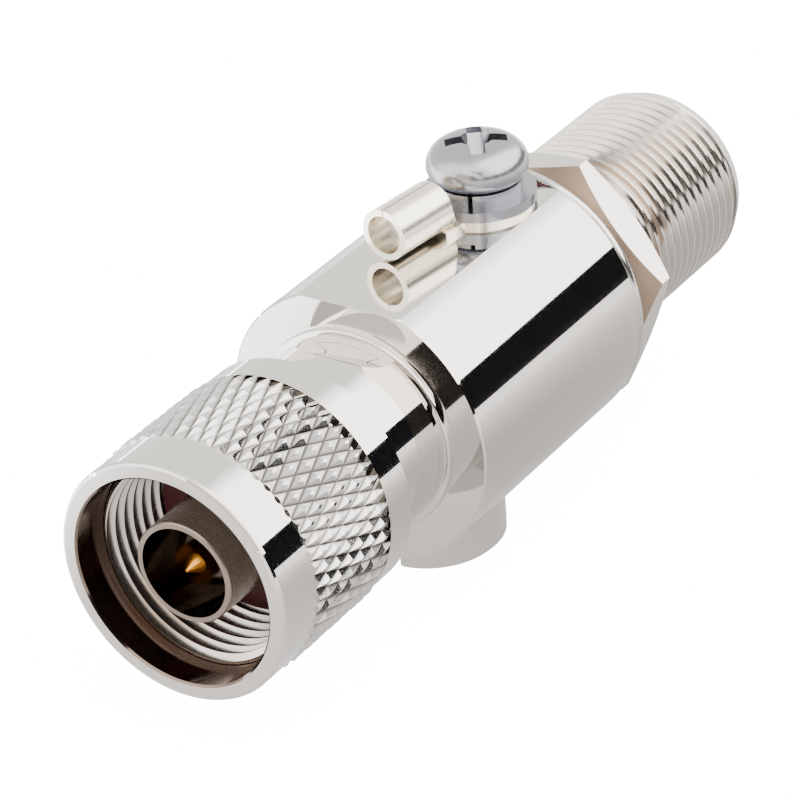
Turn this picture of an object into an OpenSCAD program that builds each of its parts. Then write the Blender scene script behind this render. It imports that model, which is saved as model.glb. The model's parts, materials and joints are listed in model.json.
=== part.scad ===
// Coaxial lightning arrestor: screw-on plug, round body with a gas tube, threaded jack and a ground lug.
// Millimetres. X runs along the line from plug to jack, Z is up through the ground screw.
// The origin is the centre of the plug's outer contact at its open end.

/* [Main body] */
// Diameter of the round body
body_d = 22; // [21.6:0.1:24]
// Length of the round body
body_len = 22.6; // [21:0.1:30]
// Depth of the ground flat below the body's top
flat_depth = 0.95; // [0.6:0.05:1.2]
// Chamfer on the body's two ends
body_edge = 0.15; // [0.1:0.05:0.5]
// Diameter of the line bore
line_bore_d = 7; // [6.6:0.1:7.4]
// Diameter of the nose that carries the jack
nose_d = 12.8; // [11:0.1:14]
// Length of the nose
nose_len = 3.6; // [2:0.1:4]

/* [Plug] */
// Outside diameter of the outer contact
sleeve_d = 7.9; // [7.8:0.05:8.4]
// Free length of the outer contact
sleeve_len = 9; // [8:0.1:10]
// Diameter of the shank that the nut turns on
shank_d = 13.2; // [12:0.1:13.8]
// Length of the shank behind the outer contact
shank_len = 5.9; // [5.5:0.1:7]
// Diameter of the neck
neck_d = 15.5; // [15:0.1:15.5]
// Length of the neck
neck_len = 6.6; // [5.5:0.1:9]
// Step from the neck down to the spigot, on the radius
spigot_step = 0.55; // [0.4:0.05:1]
// Length of the spigot inside the body
spigot_len = 3.4; // [2:0.1:3.5]
// Reach past the neck of the ring between neck and body, on the radius
ring_lip = 0.5; // [0.3:0.05:0.8]
// Thickness of that ring
ring_t = 0.5; // [0.3:0.05:0.8]
// Diameter of the cutter that makes the spanner saddles
saddle_d = 9.6; // [8:0.1:12]
// Depth of a spanner saddle in the neck
saddle_depth = 1.05; // [0.6:0.05:1.6]
// Chamfer on the neck's front edge
neck_edge = 0.2; // [0.1:0.05:0.4]

/* [Coupling nut] */
// Diameter of the smooth bands
nut_d = 18.8; // [18.2:0.1:20]
// Diameter over the knurl
knurl_d = 19.1; // [18.8:0.1:20.4]
// Length of the nut
nut_len = 16.2; // [15.5:0.1:17.5]
// Reach of the nut past the outer contact
nut_reach = 1.5; // [0.5:0.1:2]
// Length of the smooth front band
front_band = 3.95; // [2:0.05:5]
// Length of the smooth rear band
rear_band = 2.85; // [2:0.05:4]
// Diameter of the smooth mouth
mouth_d = 16.2; // [16:0.05:16.6]
// Depth of the smooth mouth
mouth_depth = 2.65; // [1.5:0.05:3.5]
// Diameter across the crests of the inner thread
nut_crest_d = 14.9; // [14.6:0.05:15.2]
// Chamfer on the front rim
rim_edge = 0.3; // [0.1:0.05:0.5]
// Running clearance between nut and shank, on the radius
run_clear = 0.08; // [0.03:0.01:0.1]
// Width of the retaining ring
clip_w = 1; // [0.6:0.1:1.2]
// Radial thickness of the retaining ring
clip_t = 1.25; // [1:0.05:1.5]
// Depth of the retaining ring's groove in the shank
clip_groove = 0.7; // [0.5:0.05:0.8]
// Thickness of the plug's gasket
plug_gasket_t = 1.4; // [0.8:0.1:2]
// Gap between the plug's gasket and the thread's crests, on the radius
plug_gasket_gap = 0.25; // [0.2:0.05:0.5]
// Step of the gasket's land above the outer contact, on the radius
gasket_land = 0.2; // [0.1:0.05:0.3]
// Chamfers on the nut's mouth and rear edge
nut_edge = 0.15; // [0.1:0.05:0.3]
// Spare length of the thread bore behind the gasket
thread_spare = 0.2; // [0.1:0.05:0.4]
// End play of the nut on its retaining ring, each way
clip_play = 0.1; // [0.05:0.05:0.2]
// Opening of the split retaining ring, in degrees
clip_open = 24; // [10:1:40]

/* [Jack] */
// Diameter of the jack's thread
thread_d = 15.875; // [15.8:0.005:16]
// Pitch of the jack's thread
thread_pitch = 1.058; // [0.9:0.001:1.3]
// Depth of the jack's thread, on the radius
thread_depth = 0.6; // [0.4:0.05:0.7]
// Angle of each side of the thread from square
thread_side_angle = 30; // [25:1:35]
// Length of the barrel behind the hex
barrel_len = 18.45; // [16:0.05:24]
// Length of the plain lead-in at the barrel's open end
lead_len = 1.5; // [0.5:0.1:2]
// Narrowing of the lead-in, on the radius
lead_depth = 0.6; // [0.2:0.05:0.8]
// Bore of the barrel's open end
jack_mouth_d = 8.6; // [8.5:0.05:9]
// Depth of that bore
jack_mouth_depth = 10; // [9:0.1:11]
// Chamfer on that bore's edge
jack_mouth_edge = 0.3; // [0.1:0.05:0.5]
// Width of the hex across its flats
hex_af = 21.8; // [21:0.1:22.4]
// Turned diameter over the hex corners
hex_turned_d = 24.2; // [23.4:0.1:24.8]
// Length of the corner lands
hex_land = 1.16; // [0.6:0.02:2]
// Thickness of the round face in front of the hex
face_t = 0.7; // [0.3:0.05:1]
// Diameter of the round face
face_d = 21.8; // [21:0.1:22.4]
// Turn of the hex about the line, in degrees
hex_turn = 21; // [0:1:59]
// Thickness of the gasket between body and jack
jack_gasket_t = 0.2; // [0.1:0.05:0.8]
// Outside diameter of that gasket
jack_gasket_d = 21; // [18:0.1:22]
// Thickness of the gasket behind the hex
panel_gasket_t = 0.7; // [0.4:0.05:1.2]
// Outside diameter of the gasket behind the hex
panel_gasket_d = 19; // [17.5:0.1:20.5]

/* [Centre line] */
// Diameter of the centre conductor
centre_d = 3; // [2.6:0.05:3.2]
// Diameter of the plug's pin
pin_d = 1.64; // [1.6:0.02:1.7]
// Length of the plug's thin pin
pin_len = 6.6; // [5:0.1:8]
// Length of the pin's point
pin_point = 1.1; // [0.8:0.1:1.6]
// Diameter of the flat at the tip of the pin
pin_tip_d = 0.24; // [0.2:0.02:0.4]
// Setback of the pin's tip from the end of the outer contact
pin_setback = 0.4; // [0:0.1:2]
// Bore of the jack's socket
socket_bore_d = 1.66; // [1.62:0.02:1.8]
// Depth of the socket's bore
socket_depth = 6; // [5:0.1:7]
// Reach of the socket into the jack's mouth
socket_reach = 5.7; // [5:0.1:6.5]
// Width of the socket's slots
slot_w = 0.3; // [0.2:0.05:0.4]
// Length of the socket's bore that has no slots
slot_root = 1; // [0.6:0.1:1.5]
// Chamfer on the socket's open end
socket_edge = 0.2; // [0.1:0.05:0.3]
// Thickness of the insulators
insulator_t = 3.6; // [2:0.1:5]
// Thickness of the insulator's front lip
insulator_lip = 0.9; // [0.5:0.1:1.2]
// Step of that lip below the bead, on the radius
insulator_step = 0.5; // [0.3:0.1:0.8]
// Setback of the plug's insulator behind the shank's front face
plug_bead_setback = 0.8; // [0.5:0.1:1.2]
// Setback of the jack's insulator from the bottom of the mouth
jack_bead_setback = 1; // [0.6:0.1:1.5]

/* [Gas tube] */
// Place of the gas tube behind the body's front face
tube_x = 8.75; // [8:0.05:12]
// Diameter of the gas tube
tube_d = 8; // [7.5:0.1:8.2]
// Length of the gas tube
tube_len = 6; // [5.5:0.1:6.2]
// Wall of the tube's ceramic
ceramic_wall = 1; // [0.8:0.1:1.3]
// Gap between the two electrodes
spark_gap = 0.8; // [0.5:0.1:1.2]
// Free gap between electrode and ceramic, on the radius
electrode_gap = 0.5; // [0.3:0.05:0.8]
// Thickness of each metal end of the tube
electrode_t = 0.8; // [0.5:0.1:1.2]
// Step of the metal ends inside the ceramic's edge
electrode_step = 0.35; // [0.2:0.05:0.6]
// Height of the flat on the centre conductor, below the line
contact_z = 1.3; // [1.1:0.05:1.4]
// Length of the contact flat
contact_len = 9; // [8.5:0.1:10]
// Free gap round the gas tube, on the radius
tube_clear = 0.2; // [0.1:0.05:0.4]
// Diameter of the cap's head
cap_d = 11.5; // [11.2:0.1:12.4]
// Reach of the cap's head below the body
cap_reach = 2.9; // [2:0.1:4]
// Height of the cap's seat above the body's underside
cap_recess = 1.8; // [1.6:0.05:2]
// Thickness of the cap's seal
cap_seal_t = 0.4; // [0.3:0.05:0.6]
// Diameter of the cap's thread
cap_thread_d = 9.6; // [9.4:0.05:9.9]
// Length of the cap's thread
cap_thread_len = 2.9; // [2.2:0.1:3.2]
// Clearance of the cap's thread, on the radius
cap_clear = 0.08; // [0.03:0.01:0.1]
// Wall of the cap's threaded cup
cap_wall = 0.55; // [0.5:0.05:0.7]
// Rise of the cup's floor above the head
cap_floor = 0.2; // [0.1:0.05:0.4]
// Spare depth of the cap's tapped hole
cap_hole_spare = 0.4; // [0.2:0.1:0.6]
// Step of the cap's seal inside the head's edge, on the radius
cap_seal_step = 0.15; // [0.1:0.05:0.3]
// Chamfer on the cap's lower edge
cap_edge = 0.45; // [0.2:0.05:0.8]
// Width of the cap's coin slot
cap_slot_w = 1.5; // [1:0.1:2]
// Depth of the cap's coin slot
cap_slot_depth = 1.6; // [0.8:0.1:2]
// Gap between the cap's head and its recess, on the radius
cap_gap = 0.3; // [0.25:0.05:0.5]
// Thickness of the contact spring's sheet
spring_t = 0.35; // [0.2:0.05:0.5]
// Gap between the spring's foot and the cup, on the radius
spring_gap = 0.3; // [0.2:0.05:0.5]

/* [Ground screw and lug] */
// Place of the ground screw in front of the body's rear face
screw_back = 4.4; // [4.4:0.1:5.4]
// Diameter of the screw's thread
screw_d = 3.9; // [3.8:0.05:4]
// Clearance of the screw in the body, on the radius
screw_clear = 0.06; // [0.03:0.01:0.1]
// Length of the screw under its head
screw_len = 7.2; // [6:0.1:7.4]
// Spare depth of the tapped hole
screw_hole_spare = 0.5; // [0.3:0.1:0.6]
// Diameter of the screw's head
head_d = 7.8; // [7.4:0.1:8.4]
// Height of the screw's head
head_h = 3.25; // [2.8:0.05:3.5]
// Radius of the head's lower edge
head_edge = 1.2; // [0.8:0.05:1.4]
// Fullness of the head's dome: near zero is square-shouldered, 1 is an ellipse
head_fullness = 0.6; // [0.3:0.05:1]
// Span of the cross recess
recess_span = 4.7; // [4:0.1:5]
// Width of the cross recess's arms
recess_w = 1.15; // [0.8:0.05:1.3]
// Diameter of the recess's core at the top
recess_core = 2.5; // [1.8:0.1:3]
// Depth of the cross recess
recess_depth = 2; // [1.4:0.1:2.2]
// Depth of the recess at the ends of its arms
recess_rim = 0.7; // [0.4:0.05:0.9]
// Turn of the cross recess, in degrees
recess_turn = 37; // [0:1:89]
// Outside diameter of the lock washer
lock_d = 6.7; // [6.4:0.05:7.4]
// Thickness of the lock washer
lock_t = 0.9; // [0.7:0.05:1.2]
// Gap in the lock washer
lock_gap = 0.35; // [0.2:0.05:0.5]
// Direction of the lock washer's gap, in degrees
lock_turn = 201; // [0:1:359]
// Outside diameter of the flat washer
washer_d = 8.75; // [8.4:0.05:8.75]
// Thickness of the flat washer
washer_t = 0.8; // [0.5:0.05:1]
// Thickness of the lug's sheet
lug_t = 0.5; // [0.4:0.05:0.6]
// Outside diameter of the lug's ring
lug_ring_d = 8.3; // [7.6:0.1:8.6]
// Outside diameter of the lug's barrel
lug_barrel_d = 4; // [3.8:0.1:4.4]
// Length of the lug's barrel
lug_barrel_len = 5.6; // [4.5:0.1:7]
// Distance from the screw to the barrel's near end
lug_neck = 5.5; // [5.2:0.1:6]
// Length of the scooped end between tongue and barrel
lug_scoop = 0.9; // [0.6:0.1:1]
// Width of the seam along the barrel's top
lug_seam = 0.1; // [0.05:0.01:0.2]
// Width of the lug's neck
lug_neck_w = 3.3; // [2.6:0.1:3.6]
// Clearance of the lug's barrel above the flat
lug_lift = 0.15; // [0.05:0.05:0.4]
// Turn of the lug about the screw, in degrees
lug_turn = 7; // [0:1:20]
// Clearance of washers and lug round the screw, on the radius
hole_clear = 0.2; // [0.12:0.02:0.3]

/* [Hidden] */
$fn = 64;

// Small overlap that keeps cuts clean
eps = 0.01;
// Slip clearance between still pieces, on the radius
slip = 0.03;
// Reach of a cutter past the face it opens
over = 1;
// Spare depth at the bottom of a pressed joint
bottom = 0.1;

// Stations along the line
shank_x0 = sleeve_len;
neck_x0 = shank_x0 + shank_len;
neck_x1 = neck_x0 + neck_len;
body_x0 = neck_x1 + ring_t;
body_x1 = body_x0 + body_len;
nose_x1 = body_x1 + nose_len;
face_x0 = body_x1 + jack_gasket_t;
hex_x0 = face_x0 + face_t;
hex_bevel = (hex_turned_d - face_d) / 2;
hex_x1 = hex_x0 + 2 * hex_bevel + hex_land;
barrel_x1 = hex_x1 + barrel_len;
jack_mouth_x0 = barrel_x1 - jack_mouth_depth;
nut_x0 = -nut_reach;
nut_x1 = nut_x0 + nut_len;
clip_x = shank_x0 + (shank_len - clip_w) / 2;
plug_bore_d = line_bore_d;
spigot_d = neck_d - 2 * spigot_step;
ring_d = neck_d + 2 * ring_lip;
land_d = sleeve_d + 2 * gasket_land;
land_x0 = shank_x0 - plug_gasket_t;
root_d = thread_d - 2 * thread_depth;
thread_x0 = hex_x1 + panel_gasket_t;
lead_x0 = barrel_x1 - lead_len;

// Gas tube stack, measured down from the line
tube_cx = body_x0 + tube_x;
tube_z0 = contact_z;
tube_z1 = tube_z0 + tube_len;
cap_z = body_d / 2 + cap_reach;
cap_seat_z = body_d / 2 - cap_recess;
cap_head_z = cap_seat_z + cap_seal_t;
cap_floor_z = cap_head_z - cap_floor;
cap_hole_d = cap_thread_d + 2 * cap_clear;
cap_top_z = cap_head_z - cap_thread_len;

// Ground stack, measured up from the line
flat_z = body_d / 2 - flat_depth;
screw_cx = body_x1 - screw_back;
washer_z = flat_z + lug_t;
lock_z = washer_z + washer_t;
head_z = lock_z + lock_t;
screw_tip_z = head_z - screw_len;
clear_hole_d = screw_d + 2 * hole_clear;

// Socket and conductor
pin_x0 = pin_setback;
pin_x1 = pin_x0 + pin_len;
plug_bead_x0 = shank_x0 + plug_bead_setback;
conductor_x0 = plug_bead_x0 + insulator_t;
jack_bead_x0 = jack_mouth_x0 - insulator_t - jack_bead_setback;
socket_x0 = jack_bead_x0;
socket_x1 = jack_mouth_x0 + socket_reach;

// Turn an upright shape to lie along the line, with its height on X
module along_line() {
    rotate([0, 90, 0]) children();
}

// Turned piece from an outline of [distance along the line, radius] points
module turned(outline) {
    along_line() rotate_extrude() polygon([for (p = outline) [p[1], p[0]]]);
}

// Plain ring along the line
module ring_x(x0, x1, d_out, d_in) {
    translate([x0, 0, 0]) along_line() difference() {
        cylinder(d = d_out, h = x1 - x0);
        translate([0, 0, -eps]) cylinder(d = d_in, h = x1 - x0 + 2 * eps);
    }
}

// Plain upright ring
module ring_z(z0, z1, d_out, d_in) {
    translate([0, 0, z0]) difference() {
        cylinder(d = d_out, h = z1 - z0);
        translate([0, 0, -eps]) cylinder(d = d_in, h = z1 - z0 + 2 * eps);
    }
}

// Round body with its ground flat, line bore, plug recess, gas tube well and rear nose
module main_body() {
    body_r = body_d / 2;
    color("silver") difference() {
        turned([[body_x0, 0], [body_x0, body_r - body_edge], [body_x0 + body_edge, body_r],
            [body_x1 - body_edge, body_r], [body_x1, body_r - body_edge], [body_x1, nose_d / 2],
            [nose_x1, nose_d / 2], [nose_x1, 0]]);
        translate([body_x0 - over, -body_r, flat_z]) cube([body_len + 2 * over, body_d, body_r]);
        translate([body_x0 - over, 0, 0]) along_line()
            cylinder(d = line_bore_d, h = body_len + nose_len + 2 * over);
        translate([body_x0 - over, 0, 0]) along_line()
            cylinder(d = spigot_d + 2 * slip, h = spigot_len + bottom + over);
        translate([screw_cx, 0, screw_tip_z - screw_hole_spare])
            cylinder(d = screw_d + 2 * screw_clear, h = body_r);
        translate([tube_cx, 0, 0]) tube_well();
    }
}

// Stepped well that takes the gas tube and its cap from below
module tube_well() {
    translate([0, 0, -tube_z1]) cylinder(d = tube_d + 2 * tube_clear, h = tube_len + 2 * bottom);
    translate([0, 0, -cap_seat_z - eps])
        cylinder(d = cap_hole_d, h = cap_seat_z - cap_top_z + cap_hole_spare);
    translate([0, 0, -cap_z]) cylinder(d = cap_d + 2 * cap_gap, h = cap_z - cap_seat_z);
}

// Plug: outer contact, shank with the ring groove, neck with two spanner saddles, press spigot
module plug_body() {
    sleeve_r = sleeve_d / 2;
    shank_r = shank_d / 2;
    neck_r = neck_d / 2;
    spigot_r = spigot_d / 2;
    groove_x = [clip_x - slip, clip_x + clip_w + slip];
    saddle_z = neck_r - saddle_depth + saddle_d / 2;
    color("gainsboro") difference() {
        turned([[0, plug_bore_d / 2], [0, sleeve_r], [land_x0, sleeve_r], [land_x0, land_d / 2],
            [shank_x0, land_d / 2], [shank_x0, shank_r], [groove_x[0], shank_r],
            [groove_x[0], shank_r - clip_groove], [groove_x[1], shank_r - clip_groove],
            [groove_x[1], shank_r], [neck_x0, shank_r], [neck_x0, neck_r - neck_edge],
            [neck_x0 + neck_edge, neck_r], [neck_x1, neck_r], [neck_x1, spigot_r],
            [body_x0 + spigot_len, spigot_r], [body_x0 + spigot_len, plug_bore_d / 2]]);
        for (side = [-1, 1])
            translate([neck_x1, neck_r, side * saddle_z]) rotate([90, 0, 0]) difference() {
                cylinder(d = saddle_d, h = neck_d);
                translate([0, -saddle_d, -eps]) cube([saddle_d, 2 * saddle_d, neck_d + 2 * eps]);
            }
    }
}

// Thin bright ring between the neck's shoulder and the body
module neck_ring() {
    color("whitesmoke") ring_x(neck_x1, neck_x1 + ring_t, ring_d, spigot_d + 2 * slip);
}

// Coupling nut: smooth bands, raised knurl band, smooth mouth, thread bore and running bore
module coupling_nut() {
    band_r = nut_d / 2;
    knurl_r = knurl_d / 2;
    mouth_r = mouth_d / 2;
    crest_r = nut_crest_d / 2;
    running_r = shank_d / 2 + run_clear;
    thread_x0 = nut_x0 + mouth_depth;
    thread_x1 = shank_x0 + thread_spare;
    knurl_x0 = nut_x0 + front_band;
    knurl_x1 = nut_x1 - rear_band;
    groove_r = clip_outer_r() + run_clear;
    groove_x = [clip_x - clip_play, clip_x + clip_w + clip_play];
    color("lightgray")
        turned([[nut_x0, mouth_r + nut_edge], [nut_x0, band_r - rim_edge], [nut_x0 + rim_edge, band_r],
            [knurl_x0, band_r], [knurl_x0, knurl_r], [knurl_x1, knurl_r], [knurl_x1, band_r],
            [nut_x1 - nut_edge, band_r], [nut_x1, band_r - nut_edge], [nut_x1, running_r],
            [groove_x[1], running_r], [groove_x[1], groove_r], [groove_x[0], groove_r],
            [groove_x[0], running_r], [thread_x1, running_r], [thread_x1, crest_r],
            [thread_x0, crest_r], [thread_x0, mouth_r], [nut_x0 + nut_edge, mouth_r]]);
}

// Outer radius of the retaining ring, seated in the shank's groove
function clip_outer_r() = shank_d / 2 - clip_groove + slip + clip_t;

// Split ring that keeps the nut on the shank
module retaining_ring() {
    inner_r = clip_outer_r() - clip_t;
    color("goldenrod") translate([clip_x, 0, 0]) along_line()
        rotate_extrude(angle = 360 - clip_open) translate([inner_r, 0]) square([clip_t, clip_w]);
}

// Flat gasket at the root of the plug's outer contact
module plug_gasket() {
    color("darkred")
        ring_x(land_x0, shank_x0, nut_crest_d - 2 * plug_gasket_gap, land_d + 2 * slip);
}

// Stepped insulator that carries a conductor in the line bore
module insulator(x0, x1) {
    bead_r = line_bore_d / 2 - slip;
    lip_r = bead_r - insulator_step;
    color("white") difference() {
        turned([[x0, 0], [x0, lip_r], [x0 + insulator_lip, lip_r], [x0 + insulator_lip, bead_r],
            [x1, bead_r], [x1, 0]]);
        translate([x0 - over, 0, 0]) along_line()
            cylinder(d = centre_d + 2 * slip, h = x1 - x0 + 2 * over);
    }
}

module plug_insulator() {
    insulator(plug_bead_x0, plug_bead_x0 + insulator_t);
}

module jack_insulator() {
    insulator(jack_bead_x0, jack_bead_x0 + insulator_t);
}

// Gold pin with a pointed end and a thicker root
module plug_pin() {
    pin_r = pin_d / 2;
    color("gold")
        turned([[pin_x0, 0], [pin_x0, pin_tip_d / 2], [pin_x0 + pin_point, pin_r], [pin_x1, pin_r],
            [pin_x1, centre_d / 2], [conductor_x0, centre_d / 2], [conductor_x0, 0]]);
}

// Rod between pin and socket, with a flat for the gas tube
module centre_conductor() {
    color("goldenrod") difference() {
        translate([conductor_x0, 0, 0]) along_line()
            cylinder(d = centre_d, h = socket_x0 - conductor_x0);
        translate([tube_cx - contact_len / 2, -centre_d, -contact_z - centre_d])
            cube([contact_len, 2 * centre_d, centre_d]);
    }
}

// Socket with four slots
module jack_socket() {
    slot_len = socket_depth - slot_root;
    color("gold") difference() {
        turned([[socket_x0, 0], [socket_x0, centre_d / 2], [socket_x1 - socket_edge, centre_d / 2],
            [socket_x1, centre_d / 2 - socket_edge], [socket_x1, 0]]);
        translate([socket_x1 - socket_depth, 0, 0]) along_line()
            cylinder(d = socket_bore_d, h = socket_depth + over);
        for (turn = [45, 135])
            rotate([turn, 0, 0]) translate([socket_x1 - slot_len, -centre_d, -slot_w / 2])
                cube([slot_len + over, 2 * centre_d, slot_w]);
    }
}

// Outline of the jack's thread as one ring a pitch, with equal flats on crests and roots
function jack_thread() = let (flank = thread_depth * tan(thread_side_angle),
        land = thread_pitch / 2 - flank,
        rings = floor((lead_x0 - thread_x0) / thread_pitch))
    [for (i = [0:rings - 1]) let (x = thread_x0 + i * thread_pitch + land)
        each [[x, thread_d / 2], [x + flank, root_d / 2], [x + flank + land, root_d / 2],
            [x + 2 * flank + land, thread_d / 2]]];

// Jack: round face, bevelled hex, threaded barrel with a plain lead-in
module jack_body() {
    face_r = face_d / 2;
    turned_r = hex_turned_d / 2;
    thread_r = thread_d / 2;
    mouth_r = jack_mouth_d / 2;
    color("silver") difference() {
        union() {
            ring_x(face_x0, hex_x0, face_d, line_bore_d);
            intersection() {
                translate([hex_x0, 0, 0]) along_line() rotate([0, 0, hex_turn])
                    cylinder(d = hex_af / cos(30), h = hex_x1 - hex_x0, $fn = 6);
                turned([[hex_x0, 0], [hex_x0, face_r], [hex_x0 + hex_bevel, turned_r],
                    [hex_x1 - hex_bevel, turned_r], [hex_x1, face_r], [hex_x1, 0]]);
            }
            turned(concat(
                [[hex_x0, 0], [hex_x0, root_d / 2], [thread_x0, root_d / 2], [thread_x0, thread_r]],
                jack_thread(),
                [[lead_x0, thread_r], [barrel_x1, thread_r - lead_depth], [barrel_x1, 0]]));
        }
        translate([face_x0 - over, 0, 0]) along_line()
            cylinder(d = line_bore_d, h = barrel_x1 - face_x0 + 2 * over);
        translate([face_x0 - over, 0, 0]) along_line()
            cylinder(d = nose_d + 2 * slip, h = nose_len - jack_gasket_t + bottom + over);
        turned([[jack_mouth_x0, 0], [jack_mouth_x0, mouth_r], [barrel_x1 - jack_mouth_edge, mouth_r],
            [barrel_x1 + eps, mouth_r + jack_mouth_edge + eps], [barrel_x1 + eps, 0]]);
    }
}

// Red ring clamped between the body and the jack
module jack_gasket() {
    color("darkred") ring_x(body_x1, face_x0, jack_gasket_d, nose_d + 2 * slip);
}

// Red ring behind the hex
module panel_gasket() {
    color("darkred") ring_x(hex_x1, thread_x0, panel_gasket_d, root_d + 2 * slip);
}

// Ceramic body of the gas tube
module tube_ceramic() {
    color("white") translate([tube_cx, 0, 0])
        ring_z(-tube_z1 + electrode_t, -tube_z0 - electrode_t, tube_d, tube_d - 2 * ceramic_wall);
}

// Dished metal end of the gas tube, with a stub inside the ceramic
module electrode() {
    cylinder(d = tube_d - 2 * electrode_step, h = electrode_t);
    cylinder(d = tube_d - 2 * ceramic_wall - 2 * electrode_gap, h = (tube_len - spark_gap) / 2);
}

module upper_electrode() {
    color("silver") translate([tube_cx, 0, -tube_z0]) mirror([0, 0, 1]) electrode();
}

module lower_electrode() {
    color("silver") translate([tube_cx, 0, -tube_z1]) electrode();
}

// Conical sheet spring between the tube and the cap
module contact_spring() {
    top_r = tube_d / 4;
    foot_r = cap_thread_d / 2 - cap_wall - spring_gap;
    color("goldenrod") translate([tube_cx, 0, 0]) rotate_extrude()
        polygon([[top_r - spring_t, -tube_z1], [top_r, -tube_z1], [foot_r, -cap_floor_z],
            [foot_r - spring_t, -cap_floor_z]]);
}

// Screw cap: round head with a coin slot, threaded cup above it
module gas_tube_cap() {
    head_r = cap_d / 2;
    thread_r = cap_thread_d / 2;
    cup_r = thread_r - cap_wall;
    color("silver") translate([tube_cx, 0, 0]) difference() {
        rotate_extrude() polygon([[0, -cap_z], [head_r - cap_edge, -cap_z], [head_r, -cap_z + cap_edge],
            [head_r, -cap_head_z], [thread_r, -cap_head_z], [thread_r, -cap_top_z],
            [cup_r, -cap_top_z], [cup_r, -cap_floor_z], [0, -cap_floor_z]]);
        translate([-head_r, -cap_slot_w / 2, -cap_z - over])
            cube([cap_d, cap_slot_w, cap_slot_depth + over]);
    }
}

// Flat seal under the cap's head
module cap_seal() {
    color("darkred") translate([tube_cx, 0, 0])
        ring_z(-cap_head_z, -cap_seat_z, cap_d - 2 * cap_seal_step, cap_hole_d);
}

// Outline of a pan head, as [radius, height] points with round shoulders
function pan_head() = let (r = head_d / 2, low = head_edge, high = head_h - low)
    concat([[0, 0]],
        [for (a = [-80:20:0]) [r - low + low * cos(a), low + low * sin(a)]],
        [for (a = [10:10:80]) [r * pow(cos(a), head_fullness), low + high * sin(a)]],
        [[0, head_h]]);

// Pan head screw with a cross recess
module ground_screw() {
    color("gray") translate([screw_cx, 0, 0]) difference() {
        union() {
            translate([0, 0, head_z]) rotate_extrude() polygon(pan_head());
            translate([0, 0, screw_tip_z]) cylinder(d = screw_d, h = screw_len + eps);
        }
        translate([0, 0, head_z + head_h]) rotate([0, 0, recess_turn]) cross_recess();
    }
}

// Cross recess: two tapered arms and a cone, opening upwards at zero height
module cross_recess() {
    arm = recess_span / 2;
    for (turn = [0, 90])
        rotate([90, 0, turn]) translate([0, 0, -recess_w / 2]) linear_extrude(recess_w)
            polygon([[-arm, over], [arm, over], [arm, -recess_rim], [recess_w / 2, -recess_depth],
                [-recess_w / 2, -recess_depth], [-arm, -recess_rim]]);
    translate([0, 0, -recess_depth])
        cylinder(d1 = recess_w, d2 = recess_core, h = recess_depth + eps);
}

// Split lock washer
module lock_washer() {
    color("gainsboro") translate([screw_cx, 0, 0]) difference() {
        ring_z(lock_z, head_z, lock_d, clear_hole_d);
        rotate([0, 0, lock_turn]) translate([0, -lock_gap / 2, lock_z - over])
            cube([lock_d, lock_gap, lock_t + 2 * over]);
    }
}

// Plain washer
module flat_washer() {
    color("lightgray") translate([screw_cx, 0, 0]) ring_z(washer_z, lock_z, washer_d, clear_hole_d);
}

// Ring terminal: flat ring and tongue, scooped end and a rolled wire barrel with its seam on top
module ground_lug() {
    barrel_r = lug_barrel_d / 2;
    barrel_z = flat_z + lug_lift + barrel_r;
    tongue_z = flat_z + lug_t;
    scoop_x0 = lug_neck - lug_scoop;
    color("ivory") translate([screw_cx, 0, 0]) rotate([0, 0, 180 - lug_turn]) difference() {
        union() {
            translate([0, 0, flat_z]) cylinder(d = lug_ring_d, h = lug_t);
            translate([0, -lug_neck_w / 2, flat_z]) cube([lug_neck + lug_t, lug_neck_w, lug_t]);
            translate([scoop_x0, 0, barrel_z]) along_line()
                cylinder(r = barrel_r, h = lug_scoop + lug_barrel_len);
        }
        translate([0, 0, flat_z - over]) cylinder(d = clear_hole_d, h = lug_t + 2 * over);
        translate([scoop_x0, 0, barrel_z]) along_line()
            cylinder(r = barrel_r - lug_t, h = lug_scoop + lug_barrel_len + over);
        translate([0, barrel_r + over, 0]) rotate([90, 0, 0]) linear_extrude(lug_barrel_d + 2 * over)
            polygon([[scoop_x0 - eps, tongue_z], [scoop_x0, tongue_z], [lug_neck, barrel_z],
                [lug_neck, barrel_z + lug_barrel_d], [scoop_x0 - eps, barrel_z + lug_barrel_d]]);
        translate([lug_neck - eps, -lug_seam / 2, barrel_z])
            cube([lug_barrel_len + over, lug_seam, lug_barrel_d]);
    }
}

main_body();
plug_body();
neck_ring();
coupling_nut();
retaining_ring();
plug_gasket();
plug_insulator();
plug_pin();
centre_conductor();
jack_body();
jack_gasket();
panel_gasket();
jack_insulator();
jack_socket();
tube_ceramic();
upper_electrode();
lower_electrode();
contact_spring();
gas_tube_cap();
cap_seal();
ground_screw();
lock_washer();
flat_washer();
ground_lug();
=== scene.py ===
"""Coax lightning arrestor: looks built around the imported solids, in their frame, in metres."""
import json
import math

import bmesh
import bpy
from mathutils import Matrix, Vector


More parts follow.
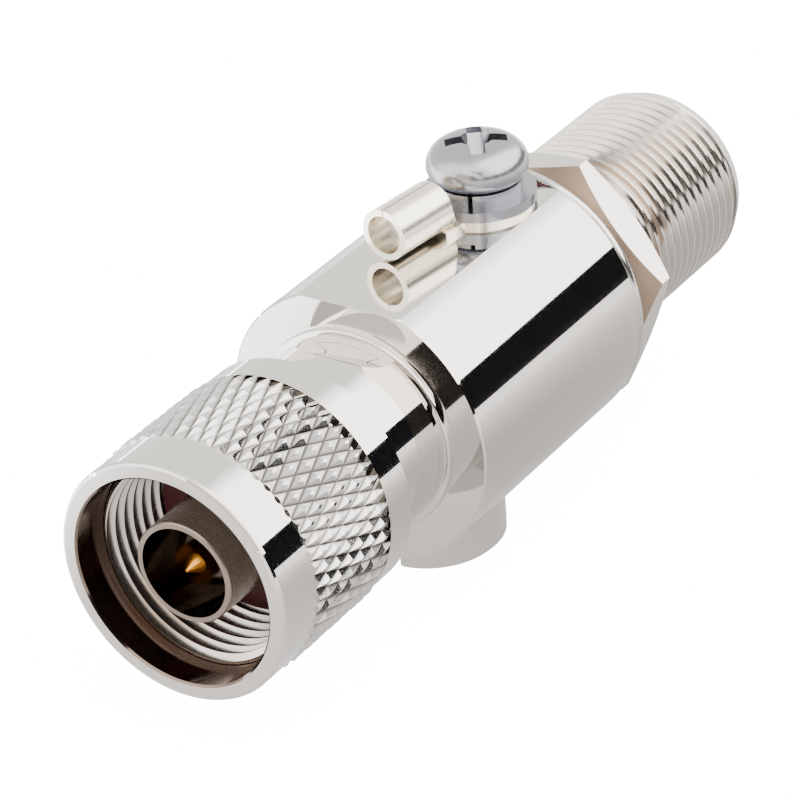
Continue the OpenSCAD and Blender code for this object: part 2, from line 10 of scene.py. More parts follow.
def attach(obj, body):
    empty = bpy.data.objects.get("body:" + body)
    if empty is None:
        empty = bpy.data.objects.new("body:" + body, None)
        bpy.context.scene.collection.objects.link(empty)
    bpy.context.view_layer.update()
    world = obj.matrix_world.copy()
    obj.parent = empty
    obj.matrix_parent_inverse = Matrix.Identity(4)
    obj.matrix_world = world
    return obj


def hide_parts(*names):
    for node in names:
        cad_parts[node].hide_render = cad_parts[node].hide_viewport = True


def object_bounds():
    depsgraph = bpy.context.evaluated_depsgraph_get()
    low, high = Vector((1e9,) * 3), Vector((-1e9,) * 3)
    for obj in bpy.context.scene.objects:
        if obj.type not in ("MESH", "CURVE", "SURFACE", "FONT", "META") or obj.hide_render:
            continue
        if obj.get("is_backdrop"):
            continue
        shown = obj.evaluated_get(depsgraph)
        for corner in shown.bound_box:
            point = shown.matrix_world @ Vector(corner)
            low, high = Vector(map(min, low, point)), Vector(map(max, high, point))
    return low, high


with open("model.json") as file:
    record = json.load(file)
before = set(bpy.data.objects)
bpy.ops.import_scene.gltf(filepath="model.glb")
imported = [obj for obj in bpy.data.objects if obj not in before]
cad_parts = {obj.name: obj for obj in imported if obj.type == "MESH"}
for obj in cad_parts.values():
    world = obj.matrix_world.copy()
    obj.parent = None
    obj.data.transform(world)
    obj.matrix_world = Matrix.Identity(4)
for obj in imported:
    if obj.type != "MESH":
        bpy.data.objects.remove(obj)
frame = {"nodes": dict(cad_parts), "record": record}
solid_low, solid_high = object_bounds()

MM = 0.001
NODES = frame["nodes"]
# Points closer than this, in metres, are one point
SAME_POINT = 1e-7
# Radii between which the painted shade in the knurl's grooves gives way to bright plate
GROOVE_R0, GROOVE_R1 = 9.29, 9.42


# Colours and materials

def linear(hex_colour):
    """Linear RGBA from an sRGB hex colour."""
    values = [int(hex_colour[i:i + 2], 16) / 255 for i in (1, 3, 5)]
    return [v / 12.92 if v <= 0.04045 else ((v + 0.055) / 1.055) ** 2.4 for v in values] + [1.0]


def add(tree, kind, settings=None, links=None):
    """Adds a node, sets its properties and inputs, and links its inputs from other nodes' outputs."""
    made = tree.nodes.new(kind)
    for name, value in (settings or {}).items():
        if isinstance(name, str) and hasattr(made, name):
            setattr(made, name, value)
        else:
            made.inputs[name].default_value = value
    for name, output in (links or {}).items():
        tree.links.new(output, made.inputs[name])
    return made


def material(name, colour, metallic, roughness, ior=None, spread=0.0, grain_mm=(0.5, 0.5, 0.5), relief_mm=0.0,
             groove_shade=None):
    """A surface with a grain of real size: it varies the roughness by spread and the height by relief.
    The last argument is painted shade for grooves: a darker colour and the two radii, in mm from the line, between
    which it gives way."""
    made = bpy.data.materials.new(name)
    made.use_nodes = True
    tree = made.node_tree
    tree.nodes.clear()
    place = add(tree, "ShaderNodeTexCoord")
    scaled = add(tree, "ShaderNodeMapping", {"Scale": [1 / (g * MM) for g in grain_mm]},
                 {"Vector": place.outputs["Object"]})
    grain = add(tree, "ShaderNodeTexNoise", {"Scale": 1.0, "Detail": 3.0}, {"Vector": scaled.outputs["Vector"]})
    rough = add(tree, "ShaderNodeMapRange", {"To Min": max(0.0, roughness - spread), "To Max": roughness + spread},
                {"Value": grain.outputs["Fac"]})
    settings = {"Base Color": linear(colour), "Metallic": metallic}
    if ior:
        settings["IOR"] = ior
    links = {"Roughness": rough.outputs["Result"]}
    if relief_mm:
        bump = add(tree, "ShaderNodeBump", {"Strength": 1.0, "Distance": relief_mm * MM},
                   {"Height": grain.outputs["Fac"]})
        links["Normal"] = bump.outputs["Normal"]
    # Painted shade: below the first radius from the line the surface takes the darker colour
    if groove_shade:
        dark, r0, r1 = groove_shade
        across = add(tree, "ShaderNodeVectorMath", {"operation": "MULTIPLY", 1: (0, 1, 1)},
                     {0: place.outputs["Object"]})
        radius = add(tree, "ShaderNodeVectorMath", {"operation": "LENGTH"}, {0: across.outputs["Vector"]})
        share = add(tree, "ShaderNodeMapRange", {"From Min": r0 * MM, "From Max": r1 * MM},
                    {"Value": radius.outputs["Value"]})
        tone = add(tree, "ShaderNodeMixRGB", {"Color1": linear(dark), "Color2": linear(colour)},
                   {"Fac": share.outputs["Result"]})
        links["Base Color"] = tone.outputs["Color"]
    shader = add(tree, "ShaderNodeBsdfPrincipled", settings, links)
    add(tree, "ShaderNodeOutputMaterial", None, {"Surface": shader.outputs["BSDF"]})
    return made


# Bright nickel plate: a clear, faintly warm mirror with the softest turning marks
NICKEL = material("bright_nickel_plate", "#D5D2CE", 1.0, 0.04, spread=0.02, grain_mm=(0.12, 2, 2))
# The same plate over coarse turning in the nut's thread: soft light and dark lines
NICKEL_TURNED = material("turned_nickel_plate", "#BDB7B1", 1.0, 0.24, spread=0.05, grain_mm=(0.06, 3, 3))
# On the jack's rolled thread: clearer, so each flank is crisp
NICKEL_ROLLED = material("rolled_nickel_plate", "#C6C0BA", 1.0, 0.12, spread=0.05, grain_mm=(0.06, 3, 3))
# In the nut's bored mouth and the outer contact's bore: painted shade, the nickel darkened to brown, as little light
# gets in
NICKEL_BORE_PAINTED_SHADE = material("bore_nickel_painted_shade", "#72645C", 1.0, 0.1, spread=0.03, grain_mm=(0.06, 3, 3))
# On the hex's turned bevels: satin, with the nickel darkened and warmed as a painted reflection of their dim taupe
# surroundings
NICKEL_SATIN_PAINTED_REFLECTION = material("satin_nickel_painted_reflection", "#A08B79", 1.0, 0.36, spread=0.05, grain_mm=(0.06, 3, 3))
# On the outer contact: dull, with the nickel darkened to grey-brown as painted shade deep in the nut's mouth
NICKEL_DULL_PAINTED_SHADE = material("dull_nickel_painted_shade", "#867A70", 1.0, 0.28, spread=0.05, grain_mm=(0.06, 3, 3))
# On the pressed knurl and the jack face's rim: fine tool marks soften each facet, and the grooves carry painted shade,
# a darker colour below a radius from the line, which also darkens the jack's round face inside that radius
NICKEL_PRESSED_GROOVE_SHADE = material("pressed_nickel_groove_shade", "#CFCDCB", 1.0, 0.13, spread=0.08, grain_mm=(0.1, 0.1, 0.1),
                          relief_mm=0.004, groove_shade=("#4A4643", GROOVE_R0, GROOVE_R1))
# Gold plate on the contacts: deep yellow, slightly soft
GOLD = material("gold_plate", "#BC8430", 1.0, 0.2, spread=0.04, grain_mm=(0.1, 1, 1))
# Spring bronze: brown metal, hidden inside the part
BRONZE = material("spring_bronze", "#B4814A", 1.0, 0.3, spread=0.05)
# Silver plate on the lug's copper sheet: creamy white and satin
SILVER = material("silver_plate", "#F2EBDD", 1.0, 0.24, spread=0.05, grain_mm=(0.3, 0.3, 0.3))
# Zinc plated steel of the screw and washers: cool grey, with a fine pressed grain
STEEL = material("zinc_plated_steel", "#9A9CA2", 1.0, 0.24, spread=0.08, grain_mm=(0.15, 0.15, 0.15), relief_mm=0.006)
# Silicone rubber gaskets: dark red, dull
RUBBER = material("red_silicone_rubber", "#33050A", 0.0, 0.5, ior=1.41, spread=0.08, grain_mm=(0.2, 0.2, 0.2))
# PTFE beads: waxy white
PTFE = material("white_ptfe", "#ECEBE6", 0.0, 0.45, ior=1.35, spread=0.05)
# Alumina of the gas tube: warm white glaze
CERAMIC = material("alumina_ceramic", "#EAE5DA", 0.0, 0.3, ior=1.76, spread=0.05)

FINISH = {"nickel": NICKEL, "gold_plate": GOLD, "spring_bronze": BRONZE, "silver_plate": SILVER,
          "steel": STEEL, "red_silicone": RUBBER, "ptfe": PTFE, "tube_ceramic": CERAMIC}

for row in frame["record"]["subparts"]:
    solid = NODES[row["node"]]
    solid.data.materials.clear()
    solid.data.materials.append(FINISH[row["material_slot"]])


# Meshes

def mesh_mm(name, verts_mm, faces):
    """A mesh from points in millimetres, with its faces turned outwards."""
    mesh = bpy.data.meshes.new(name)
    mesh.from_pydata([(x * MM, y * MM, z * MM) for x, y, z in verts_mm], [], faces)
    work = bmesh.new()
    work.from_mesh(mesh)
    bmesh.ops.recalc_face_normals(work, faces=work.faces)
    work.to_mesh(mesh)
    work.free()
    return mesh


def cut(mesh, cutters):
    """The mesh with the closed cutter meshes taken away."""
    made = bpy.data.objects.new("cut", mesh)
    bpy.context.scene.collection.objects.link(made)
    tools = []
    for cutter in cutters:
        tool = bpy.data.objects.new("tool", cutter)
        bpy.context.scene.collection.objects.link(tool)
        tools.append(tool)
        step = made.modifiers.new("cut", "BOOLEAN")
        step.operation, step.solver, step.object = "DIFFERENCE", "EXACT", tool
    bpy.context.view_layer.update()
    result = bpy.data.meshes.new_from_object(made.evaluated_get(bpy.context.evaluated_depsgraph_get()))
    for o in [made] + tools:
        bpy.data.objects.remove(o)
    return result


def shade(made, normal_of):
    """Sets a cut piece's normals from its true surfaces. normal_of gives None on a flat face."""
    normals = []
    for face in made.data.polygons:
        middle = face.center / MM
        for i in face.vertices:
            normals.append(normal_of(middle, made.data.vertices[i].co / MM) or face.normal)
    made.data.normals_split_custom_set([Vector(n).normalized() for n in normals])


def stand(mesh, x):
    """Turns a mesh made along the line to stand upright at x, with its length on Z."""
    for v in mesh.vertices:
        v.co = (x * MM + v.co.y, v.co.z, v.co.x)
    return mesh


def piece(name, mesh, slot, body, stands_for, sharp_deg=28.0, smooth=True, finish=None):
    """A named piece riding on a body, standing for solid nodes and taking a record slot's finish."""
    work = bmesh.new()
    work.from_mesh(mesh)
    bmesh.ops.remove_doubles(work, verts=work.verts, dist=SAME_POINT)
    bmesh.ops.recalc_face_normals(work, faces=work.faces)
    work.to_mesh(mesh)
    work.free()
    if smooth:
        mesh.shade_smooth()
        mesh.set_sharp_from_angle(angle=math.radians(sharp_deg))
    mesh.materials.append(finish or FINISH[slot])
    made = bpy.data.objects.new(name, mesh)
    bpy.context.scene.collection.objects.link(made)
    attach(made, body)
    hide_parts(*stands_for)
    return made


def round_faces(size, count):
    """Faces that join a number of closed outlines of so many points, set round the line."""
    faces = []
    for j in range(count):
        k = (j + 1) % count
        faces += [(j * size + i, j * size + (i + 1) % size, k * size + (i + 1) % size, k * size + i)
                  for i in range(size)]
    return faces


def lathe(outline, count=192):
    """Points and faces of a closed outline of [distance along the line, radius] turned about the line."""
    verts = []
    for j in range(count):
        turn = 2 * math.pi * j / count
        verts += [(x, r * math.cos(turn), r * math.sin(turn)) for x, r in outline]
    return verts, round_faces(len(outline), count)


def prism(outline, reach):
    """Points and faces of an outline of [x, z] points, standing out both ways along Y."""
    size = len(outline)
    verts = [(x, y, z) for y in (-reach, reach) for x, z in outline]
    walls = [(i, (i + 1) % size, size + (i + 1) % size, size + i) for i in range(size)]
    return verts, walls + [list(range(size)), list(range(size, 2 * size))]


def trim(work, x0, x1):
    """Cuts away what lies outside two planes across the line."""
    for x, out in ((x0, -1), (x1, 1)):
        bmesh.ops.bisect_plane(work, geom=work.verts[:] + work.edges[:] + work.faces[:], dist=1e-8,
                               plane_co=(x * MM, 0, 0), plane_no=(out, 0, 0), clear_outer=True)


def thread(x0, x1, pitch, profile, count=120):
    """A right-handed thread about the line between two planes. profile is [share of the pitch, radius] points."""
    turns = int((x1 - x0) / pitch) + 3
    verts, faces = [], []
    rows = turns * len(profile)
    for j in range(count + 1):
        turn = 2 * math.pi * j / count
        for t in range(turns):
            for share, r in profile:
                x = x0 - 2 * pitch + (t + share + j / count) * pitch
                verts.append((x * MM, r * math.cos(turn) * MM, r * math.sin(turn) * MM))
    for j in range(count):
        faces += [(j * rows + i, j * rows + i + 1, (j + 1) * rows + i + 1, (j + 1) * rows + i)
                  for i in range(rows - 1)]
    mesh = bpy.data.meshes.new("thread")
    mesh.from_pydata(verts, [], faces)
    work = bmesh.new()
    work.from_mesh(mesh)
    bmesh.ops.remove_doubles(work, verts=work.verts, dist=SAME_POINT)
    trim(work, x0, x1)
    work.to_mesh(mesh)
    work.free()
    return mesh


# Coupling nut: smooth shell, diamond knurl and inner thread

NUT_X0, NUT_X1 = -1.5, 14.7
BAND_R, MOUTH_R, CREST_R, ROOT_R, RUN_R = 9.4, 8.1, 7.45, 8.02, 6.68
KNURL_X0, KNURL_X1 = 2.45, 11.85
KNURL_LOW, KNURL_HIGH, KNURL_COUNT, KNURL_LONG, KNURL_BLUNT = 9.3, 9.6, 54, 2.8, 0.22
# Radius of the shell under the knurl
KNURL_BASE = 9.0
THREAD_X0, THREAD_X1, PITCH = 1.15, 9.2, 1.0583

shell = [[NUT_X0, MOUTH_R + 0.15], [NUT_X0, BAND_R - 0.3], [NUT_X0 + 0.1, BAND_R - 0.12], [NUT_X0 + 0.3, BAND_R],
         [KNURL_X0, BAND_R], [KNURL_X0, KNURL_BASE], [KNURL_X1, KNURL_BASE], [KNURL_X1, BAND_R],
         [NUT_X1 - 0.15, BAND_R], [NUT_X1, BAND_R - 0.15], [NUT_X1, RUN_R], [THREAD_X1, RUN_R],
         [THREAD_X1, ROOT_R + 0.05], [THREAD_X0, ROOT_R + 0.05], [THREAD_X0, MOUTH_R], [NUT_X0 + 0.15, MOUTH_R]]
nut = piece("nut_shell", mesh_mm("nut_shell", *lathe(shell)), "nickel", "nut", ["coupling_nut"])
nut.data.materials.append(NICKEL_BORE_PAINTED_SHADE)
for face in nut.data.polygons:
    # The mouth and the wall under the thread, and not the rear end, take the painted bore shade
    if face.center.x < THREAD_X1 * MM and math.hypot(face.center.y, face.center.z) < (MOUTH_R + 0.1) * MM:
        face.material_index = 1

# Four-sided points between two crossing sets of grooves
rows = int((KNURL_X1 - KNURL_X0) / KNURL_LONG * 2) + 4
start = KNURL_X0 - KNURL_LONG


def knurl_point(row, step, r):
    """A crossing of the knurl's grooves, or a point between them, at a radius."""
    turn = 2 * math.pi * (step + 0.5 * (row % 2)) / KNURL_COUNT
    return ((start + row * KNURL_LONG / 2) * MM, r * math.cos(turn) * MM, r * math.sin(turn) * MM)


work = bmesh.new()
low = [[work.verts.new(knurl_point(i, j, KNURL_LOW)) for j in range(KNURL_COUNT)] for i in range(rows)]
for i in range(1, rows - 1):
    for j in range(KNURL_COUNT):
        near = (j + i % 2) % KNURL_COUNT
        ring = [low[i][j], low[i - 1][near], low[i][(j + 1) % KNURL_COUNT], low[i + 1][near]]
        # The blunt top is the same diamond, smaller, about the point's middle
        middle = Vector(knurl_point(i, j + 0.5, KNURL_HIGH))
        top = []
        for corner in ring:
            at = middle.lerp(corner.co, KNURL_BLUNT)
            lift = KNURL_HIGH * MM / math.hypot(at.y, at.z)
            top.append(work.verts.new((at.x, at.y * lift, at.z * lift)))
        for a in range(4):
            work.faces.new((ring[a], ring[(a + 1) % 4], top[(a + 1) % 4], top[a]))
        work.faces.new(top)
trim(work, KNURL_X0, KNURL_X1)
rim = [e for e in work.edges if e.is_boundary]
walls = bmesh.ops.extrude_edge_only(work, edges=rim)
for v in [g for g in walls["geom"] if isinstance(g, bmesh.types.BMVert)]:
    share = KNURL_BASE * MM / math.hypot(v.co.y, v.co.z)
    v.co = Vector((v.co.x, v.co.y * share, v.co.z * share))
mesh = bpy.data.meshes.new("nut_knurl")
work.to_mesh(mesh)
work.free()
# The knurl's material paints shade into its grooves
piece("nut_knurl", mesh, "nickel", "nut", ["coupling_nut"], smooth=False, finish=NICKEL_PRESSED_GROOVE_SHADE)

inner = thread(THREAD_X0, THREAD_X1, PITCH, [[0.0, CREST_R], [0.18, CREST_R], [0.5, ROOT_R], [0.68, ROOT_R]])
piece("nut_thread", inner, "nickel", "nut", ["coupling_nut"], finish=NICKEL_TURNED)


# Plug: outer contact and shank inside the nut, and the bright neck with its two spanner saddles

NECK_X0, NECK_X1, NECK_R, SPIGOT_R, SPIGOT_X1, BORE_R = 14.9, 21.5, 7.75, 7.2, 25.4, 3.5
CONTACT_R, CONTACT_EDGE, LAND_X0, LAND_R, SHANK_X0, SHANK_R = 3.95, 0.08, 7.6, 4.15, 9, 6.6
sleeve = [[0, BORE_R], [0, CONTACT_R - CONTACT_EDGE], [CONTACT_EDGE, CONTACT_R], [LAND_X0, CONTACT_R],
          [LAND_X0, LAND_R], [SHANK_X0, LAND_R], [SHANK_X0, SHANK_R], [NECK_X0, SHANK_R], [NECK_X0, BORE_R]]
# The contact's outside takes the nickel darkened as painted shade
contact = piece("plug_sleeve", mesh_mm("plug_sleeve", *lathe(sleeve)), "nickel", "arrestor", ["plug_body"],
                finish=NICKEL_DULL_PAINTED_SHADE)
# Its bore takes the nickel darkened as painted shade
contact.data.materials.append(NICKEL_BORE_PAINTED_SHADE)
for face in contact.data.polygons:
    if math.hypot(face.center.y, face.center.z) < (BORE_R + 0.1) * MM:
        face.material_index = 1
neck = [[NECK_X0, BORE_R], [NECK_X0, NECK_R - 0.2], [NECK_X0 + 0.2, NECK_R], [NECK_X1, NECK_R], [NECK_X1, SPIGOT_R],
        [SPIGOT_X1, SPIGOT_R], [SPIGOT_X1, BORE_R]]
SADDLE_R, SADDLE_DEPTH = 4.8, 1.05
SADDLE_Z = NECK_R - SADDLE_DEPTH + SADDLE_R
half = [math.pi * i / 96 for i in range(97)]
saddles = [mesh_mm("saddle", *prism([[NECK_X1 - SADDLE_R * math.sin(a), side * (SADDLE_Z - SADDLE_R * math.cos(a))]
                                     for a in half], NECK_R + 1)) for side in (1, -1)]


def neck_normal(middle, at):
    """Normals of the saddles' hollow and the neck's round."""
    axis = math.copysign(SADDLE_Z, middle.z)
    if abs(math.hypot(middle.x - NECK_X1, middle.z - axis) - SADDLE_R) < 0.01:
        return Vector((NECK_X1 - at.x, 0, axis - at.z))
    if abs(math.hypot(middle.y, middle.z) - NECK_R) < 0.01:
        return Vector((0, at.y, at.z))
    return None


shade(piece("plug_neck", cut(mesh_mm("plug_neck", *lathe(neck, 240)), saddles), "nickel", "arrestor", ["plug_body"]),
      neck_normal)
RING_R = 8.25
ring = [[NECK_X1, SPIGOT_R + 0.03], [NECK_X1, RING_R - 0.2], [NECK_X1 + 0.06, RING_R - 0.06], [NECK_X1 + 0.2, RING_R],
        [NECK_X1 + 0.5, RING_R], [NECK_X1 + 0.5, SPIGOT_R + 0.03]]
piece("bright_ring", mesh_mm("bright_ring", *lathe(ring)), "nickel", "arrestor", ["neck_ring"], sharp_deg=50)


# Ground screw: domed head with a cross recess, and its thread

SCREW_X, HEAD_Z, HEAD_R, HEAD_H, HEAD_EDGE, HEAD_FULLNESS = 40.2, 12.25, 3.9, 3.25, 1.2, 0.6
SCREW_R, SCREW_ROOT_R, SCREW_LEN, SCREW_PITCH = 1.95, 1.53, 7.2, 0.7
RECESS_ARM, RECESS_W, RECESS_CORE, RECESS_DEPTH, RECESS_RIM, RECESS_TURN = 2.35, 1.15, 2.5, 2.0, 0.7, 37
DOME = HEAD_H - HEAD_EDGE
head = [[HEAD_Z, SCREW_R]] + [
    [HEAD_Z + HEAD_EDGE * (1 + math.sin(a)), HEAD_R - HEAD_EDGE * (1 - math.cos(a))]
    for a in [math.radians(6 * i) for i in range(-15, 1)]] + [
    [HEAD_Z + HEAD_EDGE + DOME * math.sin(a), HEAD_R * math.cos(a) ** HEAD_FULLNESS]
    for a in [math.radians(3 * i) for i in range(1, 30)]] + [[HEAD_Z + HEAD_H, 0.02], [HEAD_Z, 0.02]]
arm = [[-RECESS_ARM, 1], [RECESS_ARM, 1], [RECESS_ARM, -RECESS_RIM], [RECESS_W / 2, -RECESS_DEPTH],
       [-RECESS_W / 2, -RECESS_DEPTH], [-RECESS_ARM, -RECESS_RIM]]
core = [[-RECESS_DEPTH, 0.01], [-RECESS_DEPTH, RECESS_W / 2], [0, RECESS_CORE / 2], [0, 0.01]]
recess = [mesh_mm("arm", *prism(arm, RECESS_W / 2)), mesh_mm("arm", *prism(arm, RECESS_W / 2)),
          stand(mesh_mm("core", *lathe(core, 48)), 0)]
for tool, turn in zip(recess, (RECESS_TURN, RECESS_TURN + 90, 0)):
    tool.transform(Matrix.Translation(Vector((SCREW_X, 0, HEAD_Z + HEAD_H)) * MM)
                   @ Matrix.Rotation(math.radians(turn), 4, "Z"))


def head_normal(middle, at):
    """Normals of the head's rounded edge and dome."""
    out, rise = Vector((at.x - SCREW_X, at.y, 0)), at.z - HEAD_Z - HEAD_EDGE
    if rise < 0:
        return out.normalized() * math.sqrt(max(0, 1 - (rise / HEAD_EDGE) ** 2)) + Vector((0, 0, rise / HEAD_EDGE))
    flat = math.cos(math.asin(min(1, max(0, (middle.z - HEAD_Z - HEAD_EDGE) / DOME))))
    if math.hypot(middle.x - SCREW_X, middle.y) < HEAD_R * flat ** HEAD_FULLNESS - 0.06:
        return None
    steep = min(1.55, math.asin(min(1, rise / DOME)))
    return out.normalized() * DOME * math.cos(steep) + Vector((0, 0, 1)) * (
        HEAD_R * HEAD_FULLNESS * math.cos(steep) ** (HEAD_FULLNESS - 1) * math.sin(steep))


shade(piece("screw_head", cut(stand(mesh_mm("screw_head", *lathe(head, 128)), SCREW_X), recess), "steel", "screw",
            ["ground_screw"]), head_normal)
shaft = thread(HEAD_Z - SCREW_LEN, HEAD_Z, SCREW_PITCH,
               [[0.0, SCREW_R], [0.12, SCREW_R], [0.5, SCREW_ROOT_R], [0.62, SCREW_ROOT_R]], 48)
piece("screw_thread", stand(shaft, SCREW_X), "steel", "screw", ["ground_screw"])


# Jack: round face and bevelled hex, threaded barrel with a plain end

FACE_X0, FACE_X1, FACE_R, NOSE_R = 44.8, 45.5, 10.9, 6.43
# The hex as the photo shows it: smaller, further back and flatter in its bevels than the solid's
HEX_FLAT_R, HEX_TURN, HEX_X0, HEX_X1, HEX_ROOT_R, HEX_MARKS = 9.61, 21.0, 47.44, 50.22, 9.05, 192
HEX_SLOPE = math.tan(math.radians(30))
# The barrel starts inside the hex
TAIL_X0, TAIL_R = 48.3, 7.0
JACK_R, JACK_ROOT_R, JACK_BORE_R, JACK_MOUTH_R = 7.9375, 7.3375, 3.5, 4.3
MOUTH_X0, CUT_X0, CUT_X1, BARREL_X1, LEAD_DEPTH = 57.51, 49.76, 66.01, 67.51, 0.6

verts = []
# The round face's rim is half round
RIM_R = (FACE_X1 - FACE_X0) / 2
rim = [[FACE_X0 + RIM_R * (1 - math.cos(a)), FACE_R - RIM_R * (1 - math.sin(a))]
       for a in [math.pi * i / 12 for i in range(13)]]
for i in range(HEX_MARKS):
    turn = math.radians(HEX_TURN) + 2 * math.pi * i / HEX_MARKS
    off = (2 * math.pi * i / HEX_MARKS + math.pi / 6) % (math.pi / 3) - math.pi / 6
    r = HEX_FLAT_R / math.cos(off)
    low, high = (HEX_ROOT_R - HEX_FLAT_R) * HEX_SLOPE, (r - HEX_FLAT_R) * HEX_SLOPE
    section = [[FACE_X0, NOSE_R]] + rim + [[FACE_X1, HEX_ROOT_R], [HEX_X0 + low, HEX_ROOT_R], [HEX_X0 + high, r],
               [HEX_X1 - high, r], [HEX_X1 - low, HEX_ROOT_R], [HEX_X1 - low, TAIL_R], [TAIL_X0, TAIL_R],
               [TAIL_X0, NOSE_R]]
    verts += [(x, q * math.cos(turn), q * math.sin(turn)) for x, q in section]
faces = round_faces(len(section), HEX_MARKS)
jack_hex = piece("jack_hex", mesh_mm("jack_hex", verts, faces), "nickel", "arrestor", ["jack_body"], sharp_deg=18.0)
# The bevels take the satin nickel with its painted reflection
jack_hex.data.materials.append(NICKEL_SATIN_PAINTED_REFLECTION)
jack_hex.data.materials.append(NICKEL_PRESSED_GROOVE_SHADE)
for face in jack_hex.data.polygons:
    # The round face and its rim, with painted shade on the front face inside 9.29 mm of the line, then the bevels
    if face.center.x < FACE_X1 * MM:
        face.material_index = 2
    elif 0.7 < abs(face.normal.x) < 0.95:
        face.material_index = 1

barrel = [[TAIL_X0, JACK_BORE_R], [TAIL_X0, TAIL_R], [CUT_X0, TAIL_R], [CUT_X0, JACK_ROOT_R - 0.05],
          [CUT_X1, JACK_ROOT_R - 0.05], [CUT_X1, JACK_R], [BARREL_X1 - 0.1, JACK_R - LEAD_DEPTH + 0.04],
          [BARREL_X1, JACK_R - LEAD_DEPTH - 0.06], [BARREL_X1, JACK_MOUTH_R + 0.3], [BARREL_X1 - 0.3, JACK_MOUTH_R],
          [MOUTH_X0, JACK_MOUTH_R], [MOUTH_X0, JACK_BORE_R]]
piece("jack_barrel", mesh_mm("jack_barrel", *lathe(barrel)), "nickel", "arrestor", ["jack_body"])
outer = thread(CUT_X0, CUT_X1, PITCH, [[0.0, JACK_R], [0.17, JACK_R], [0.5, JACK_ROOT_R], [0.67, JACK_ROOT_R]])
piece("jack_thread", outer, "nickel", "arrestor", ["jack_body"], finish=NICKEL_ROLLED)


# Floor, studio light and camera

FLOOR_Z = solid_low.z
FLOOR_R, FLOOR_GLOW, CENTRE_X, DISC_SIDES = 0.6, 14.0, 0.033, 96
# What the metal sees of the floor: in the object's shade, further out, and in a bright patch to the far left
SHADE_LEVEL, OPEN_LEVEL, PATCH_LEVEL = 0.9, 2.5, 6.0


def stage_piece(name, verts, faces, surface):
    """A piece of the studio, not of the object."""
    mesh = bpy.data.meshes.new(name)
    mesh.from_pydata(verts, [], faces)
    mesh.materials.append(surface)
    made = bpy.data.objects.new(name, mesh)
    bpy.context.scene.collection.objects.link(made)
    made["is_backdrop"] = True
    return made


def glow(name, colour, level):
    """A card that gives off light. level is a number, or a function that adds nodes and returns their output."""
    made = bpy.data.materials.new(name)
    made.use_nodes = True
    tree = made.node_tree
    tree.nodes.clear()
    fixed = {"Color": linear(colour)}
    if callable(level):
        shine = add(tree, "ShaderNodeEmission", fixed, {"Strength": level(tree)})
    else:
        shine = add(tree, "ShaderNodeEmission", fixed | {"Strength": level})
    add(tree, "ShaderNodeOutputMaterial", None, {"Surface": shine.outputs["Emission"]})
    return made


def floor_level(tree):
    """Dim in the object's own shade, brighter further out, and brightest towards the far left."""
    place = add(tree, "ShaderNodeTexCoord").outputs["Object"]
    far = add(tree, "ShaderNodeVectorMath", {"operation": "LENGTH"}, {0: place})
    shade = add(tree, "ShaderNodeMapRange", {"From Min": 0.01, "From Max": 0.12, "To Min": SHADE_LEVEL,
                                             "To Max": OPEN_LEVEL}, {"Value": far.outputs["Value"]})
    across = add(tree, "ShaderNodeVectorMath", {"operation": "DOT_PRODUCT", 1: (0.3, 0.95, 0)}, {0: place})
    open_side = add(tree, "ShaderNodeMapRange", {"interpolation_type": "SMOOTHSTEP", "From Min": 0.018,
                                                 "From Max": 0.034}, {"Value": across.outputs["Value"]})
    along = add(tree, "ShaderNodeSeparateXYZ", None, {"Vector": place})
    patch = add(tree, "ShaderNodeMapRange", {"interpolation_type": "SMOOTHSTEP", "From Min": -0.005, "From Max": -0.03,
                                             "To Min": 0.0}, {"Value": along.outputs["X"],
                                                              "To Max": open_side.outputs["Result"]})
    return add(tree, "ShaderNodeMix", {"B": PATCH_LEVEL}, {"Factor": patch.outputs["Result"],
                                                           "A": shade.outputs["Result"]}).outputs["Result"]


# Plain pale floor, almost white and matt, lit from below like a light table
FLOOR = material("pale_floor", "#F6F5F2", 0.0, 0.9, ior=1.45, spread=0.02, grain_mm=(5, 5, 5))
shader = next(n for n in FLOOR.node_tree.nodes if n.type == "BSDF_PRINCIPLED")
shader.inputs["Emission Color"].default_value = linear("#FFFFFF")
shader.inputs["Emission Strength"].default_value = FLOOR_GLOW
disc = [(math.cos(2 * math.pi * i / DISC_SIDES), math.sin(2 * math.pi * i / DISC_SIDES)) for i in range(DISC_SIDES)]
stage_piece("floor", [(CENTRE_X + FLOOR_R * x, FLOOR_R * y, FLOOR_Z) for x, y in disc],
            [list(range(DISC_SIDES))], FLOOR)

# Studio cards that only the polished metal sees: a grey one over the floor, a black one low on the near side that
# gives the long dark streak along the body, a tall dark one where the camera stands and a taupe wall to the left
CARD_R, CARD_LIFT = 0.42, 0.00005
grey = stage_piece("grey_card", [(CARD_R * x, CARD_R * y, 0.0) for x, y in disc], [list(range(DISC_SIDES))],
                   glow("grey_card", "#FFFAF6", floor_level))
grey.location = (0.045, -0.02, FLOOR_Z + CARD_LIFT)


def strip(count):
    """Faces of a band of so many fields between two rows of points."""
    return [(2 * i, 2 * i + 1, 2 * i + 3, 2 * i + 2) for i in range(count)]


def curved_card(name, turn0, turn1, top_deg, colour, level):
    """A card round the object between two directions, from -Y towards +X, that reaches up to an elevation."""
    turns = [math.radians(turn0 + (turn1 - turn0) * i / 32) for i in range(33)]
    made = stage_piece(name, [(CARD_R * math.sin(t), -CARD_R * math.cos(t), z) for t in turns
                              for z in (FLOOR_Z, CARD_R * math.tan(math.radians(top_deg)))],
                       strip(32), glow(name, colour, level))
    made.location = (CENTRE_X, 0, 0)
    return made


black = curved_card("black_card", -44, 88, 16.2, "#E8E8FF", 0.012)
dark = curved_card("dark_card", -74, -44, 41, "#FFEEDD", 0.04)
taupe = curved_card("taupe_card", -108, -74, 30, "#F8E0CC", 2.0)
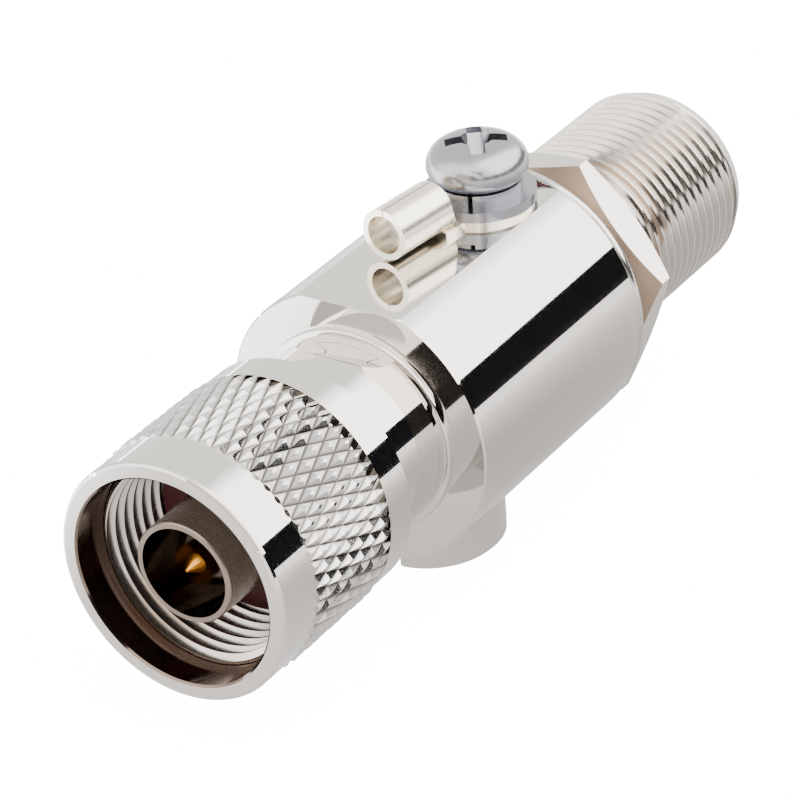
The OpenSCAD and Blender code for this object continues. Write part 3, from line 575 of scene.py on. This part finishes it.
# A bright arc in front of the nut keeps the dark card off the neck: what the neck reflects by way of the body's face
# meets the arc, and what the face reflects by way of the neck passes inside it
ARC_X, ARC_R0, ARC_R1, ARC_DEG = -20, 48, 58, 66
turns = [math.radians(ARC_DEG * i / 24) for i in range(25)]
bright = stage_piece("bright_arc", [(ARC_X * MM, -r * MM * math.sin(t), r * MM * math.cos(t)) for t in turns
                                    for r in (ARC_R0, ARC_R1)],
                     strip(24), glow("bright_arc", "#FFF8EE", 7.0))
for card in (grey, black, dark, taupe, bright):
    card.visible_camera = card.visible_diffuse = card.visible_shadow = False

# Soft studio all round, brightest on the near side and next on the left
NEAR_LEVEL, FAR_LEVEL, LEFT_LEVEL = 6.2, 2.0, 4.0
world = bpy.data.worlds.new("soft_studio")
bpy.context.scene.world = world
world.use_nodes = True
tree = world.node_tree
tree.nodes.clear()
place = add(tree, "ShaderNodeTexCoord")
parts = add(tree, "ShaderNodeSeparateXYZ", None, {"Vector": place.outputs["Generated"]})
side = add(tree, "ShaderNodeMapRange", {"interpolation_type": "SMOOTHSTEP", "From Min": 0.05, "From Max": -0.25,
                                        "To Min": FAR_LEVEL, "To Max": NEAR_LEVEL}, {"Value": parts.outputs["Y"]})
left = add(tree, "ShaderNodeMapRange", {"interpolation_type": "SMOOTHSTEP", "From Min": -0.15, "From Max": -0.5,
                                        "To Min": 0.0, "To Max": 1.0}, {"Value": parts.outputs["X"]})
level = add(tree, "ShaderNodeMix", {"B": LEFT_LEVEL}, {"Factor": left.outputs["Result"], "A": side.outputs["Result"]})
light = add(tree, "ShaderNodeBackground", {"Color": linear("#FFFCF7")}, {"Strength": level.outputs["Result"]})
add(tree, "ShaderNodeOutputWorld", None, {"Surface": light.outputs["Background"]})

# The camera as fitted to the photo: its place, its turn and its focal length in the photo's pixels
CAMERA_AT, FOCAL_PX, PHOTO_PX, SENSOR_MM = (-0.167076, -0.135042, 0.135198), 3671.57, 800, 36.0
AZIMUTH, ELEVATION, ROLL = (math.radians(a) for a in (-55.266, 29.813, -4.358))
back = Vector((math.sin(AZIMUTH) * math.cos(ELEVATION), -math.cos(AZIMUTH) * math.cos(ELEVATION), math.sin(ELEVATION)))
level_right = Vector((math.cos(AZIMUTH), math.sin(AZIMUTH), 0))
level_up = back.cross(level_right)
right = math.cos(ROLL) * level_right + math.sin(ROLL) * level_up
up = math.cos(ROLL) * level_up - math.sin(ROLL) * level_right
camera = bpy.data.objects.new("camera", bpy.data.cameras.new("camera"))
bpy.context.scene.collection.objects.link(camera)
camera.matrix_world = Matrix.Translation(Vector(CAMERA_AT)) @ Matrix(
    (right, up, back)).transposed().to_4x4()
camera.data.sensor_width = SENSOR_MM
camera.data.lens = SENSOR_MM * FOCAL_PX / PHOTO_PX
camera.data.clip_start, camera.data.clip_end = 0.01, 10.0
bpy.context.scene.camera = camera

low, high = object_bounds()
